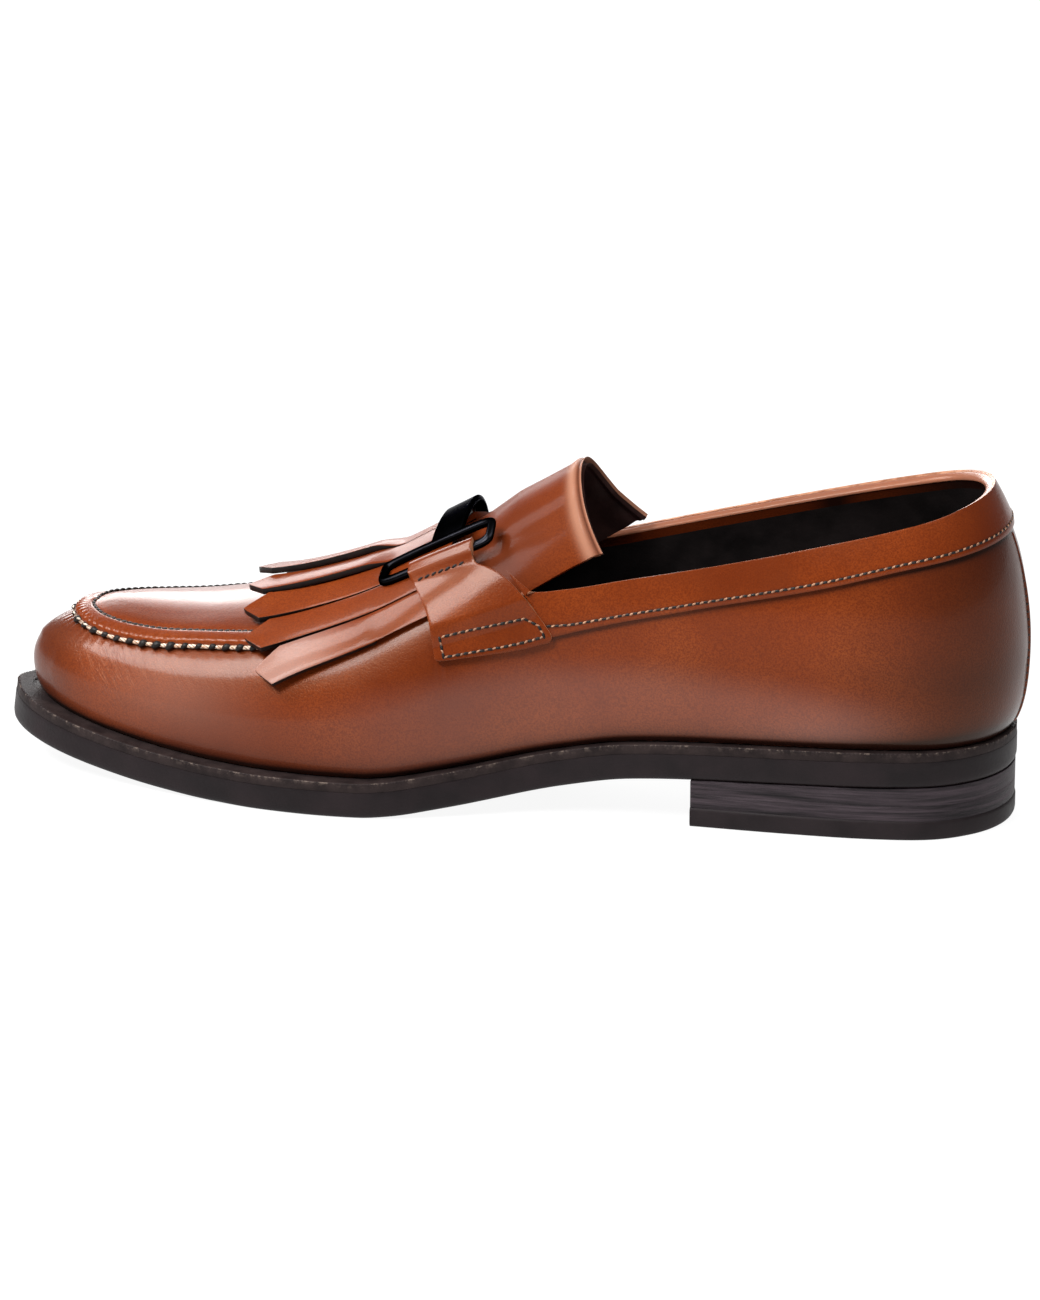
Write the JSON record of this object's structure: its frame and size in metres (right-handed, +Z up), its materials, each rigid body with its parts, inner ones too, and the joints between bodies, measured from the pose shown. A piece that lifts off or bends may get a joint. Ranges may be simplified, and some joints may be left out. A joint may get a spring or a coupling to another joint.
{
  "type": "leather loafer",
  "caption": "Low-heeled leather loafer for the left foot, with a raised moccasin apron, a fringed kiltie and a plain metal bit on strap tabs over a rubber sole.",
  "frame": {"origin": "middle of the footprint on the ground", "axes": "+Z up, +X towards the heel, -X towards the toe, -Y towards the outer side of the foot"},
  "size_m": [0.3076, 0.0968, 0.0981],
  "materials": {
    "leather": "polished",
    "tongue": "polished",
    "sole": "satin",
    "midsole": "satin",
    "heel": "satin",
    "bit_metal": "gloss",
    "sock": "matte"
  },
  "bodies": {
    "root": {"outsole": "sole", "midsole": "midsole", "heel_top_piece": "sole", "heel_stack": "heel", "upper": "leather", "collar_band": "leather", "apron": "leather", "tongue": "tongue", "kiltie": "leather", "strap_lateral": "leather", "strap_medial": "leather", "bit": "bit_metal", "insole": "sock"}
  },
  "joints": []
}
